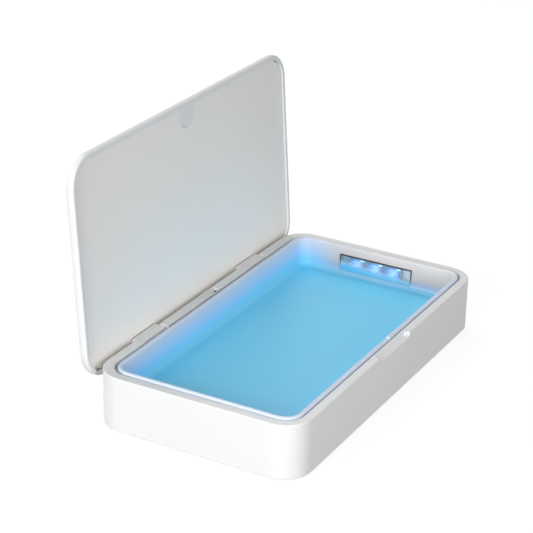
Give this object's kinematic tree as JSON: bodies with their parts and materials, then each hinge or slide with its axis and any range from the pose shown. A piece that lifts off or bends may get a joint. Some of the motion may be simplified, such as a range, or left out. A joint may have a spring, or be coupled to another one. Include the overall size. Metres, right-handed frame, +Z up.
{
  "type": "uv sanitizer box",
  "caption": "Shallow round-cornered uv sanitizer box with a smooth recessed tray, lamps behind a clear end window, and a hinged lid with a start button.",
  "frame": {"origin": "on the ground under the middle of the open box's bounding box", "axes": "+X along the case towards the lamp window, +Y towards the hinge and the open lid, +Z up"},
  "size_m": [0.214, 0.1344, 0.1412],
  "materials": {
    "case_plastic": "smooth white moulded plastic with a soft gloss",
    "tray_plastic": "smooth white moulded plastic, lit blue by the lamps",
    "cover_plastic": "fine matte white moulded plastic",
    "panel_plastic": "satin pale grey-white moulded panel",
    "button_plastic": "smooth white cap",
    "foot_rubber": "matte grey rubber",
    "steel": "plain drawn steel",
    "bezel_metal": "bright plated ring",
    "magnet_nickel": "nickel plating",
    "bezel_black": "matte dark frame",
    "window_clear": "clear polished window",
    "reflector_mirror": "bright metallised cups",
    "uv_lamp": "clear dome on a pale chip, glowing blue",
    "indicator_clear": "small clear dome",
    "board_white": "white solder mask",
    "board_green": "green solder mask",
    "chip_black": "black moulded package",
    "lead_rubber": "white insulated lead"
  },
  "bodies": {
    "base": {"base_housing": "case_plastic", "inner_tray": "tray_plastic", "bottom_cover": "cover_plastic", "foot_front_left": "foot_rubber", "foot_back_left": "foot_rubber", "foot_front_right": "foot_rubber", "foot_back_right": "foot_rubber", "cover_screw_front_left": "steel", "cover_screw_back_left": "steel", "cover_screw_front_right": "steel", "cover_screw_back_right": "steel", "window_bezel": "bezel_black", "uv_window": "window_clear", "lamp_reflector": "reflector_mirror", "uv_lamp_1": "uv_lamp", "uv_lamp_2": "uv_lamp", "uv_lamp_3": "uv_lamp", "lamp_board": "board_white", "main_board": "board_green", "control_chip": "chip_black", "power_socket": "steel", "base_magnet_left": "magnet_nickel", "base_magnet_right": "magnet_nickel", "hinge_pin_left": "steel", "hinge_pin_right": "steel", "lid_sensor": "chip_black", "indicator_lamp": "indicator_clear", "lamp_lead": "lead_rubber", "sensor_lead": "lead_rubber"},
    "lid": {"lid_shell": "case_plastic", "lid_panel": "panel_plastic", "hinge_arm_left": "case_plastic", "hinge_arm_right": "case_plastic", "lid_magnet_left": "magnet_nickel", "lid_magnet_right": "magnet_nickel", "switch_board": "board_green", "button_bezel": "bezel_metal", "lid_lead": "lead_rubber"},
    "button": {"start_button": "button_plastic"}
  },
  "joints": [
    {"name": "lid_hinge", "type": "hinge", "parent": "base", "child": "lid", "pos_m": [0, 0.04833, 0.02634], "axis": [1, 0, 0], "range_deg": [0, 93.87]},
    {"name": "start_button_press", "type": "slide", "parent": "lid", "child": "button", "axis": [0, -0.9977, 0.0675], "range_m": [0, 0.0004], "stiffness_N_per_m": 4000}
  ]
}
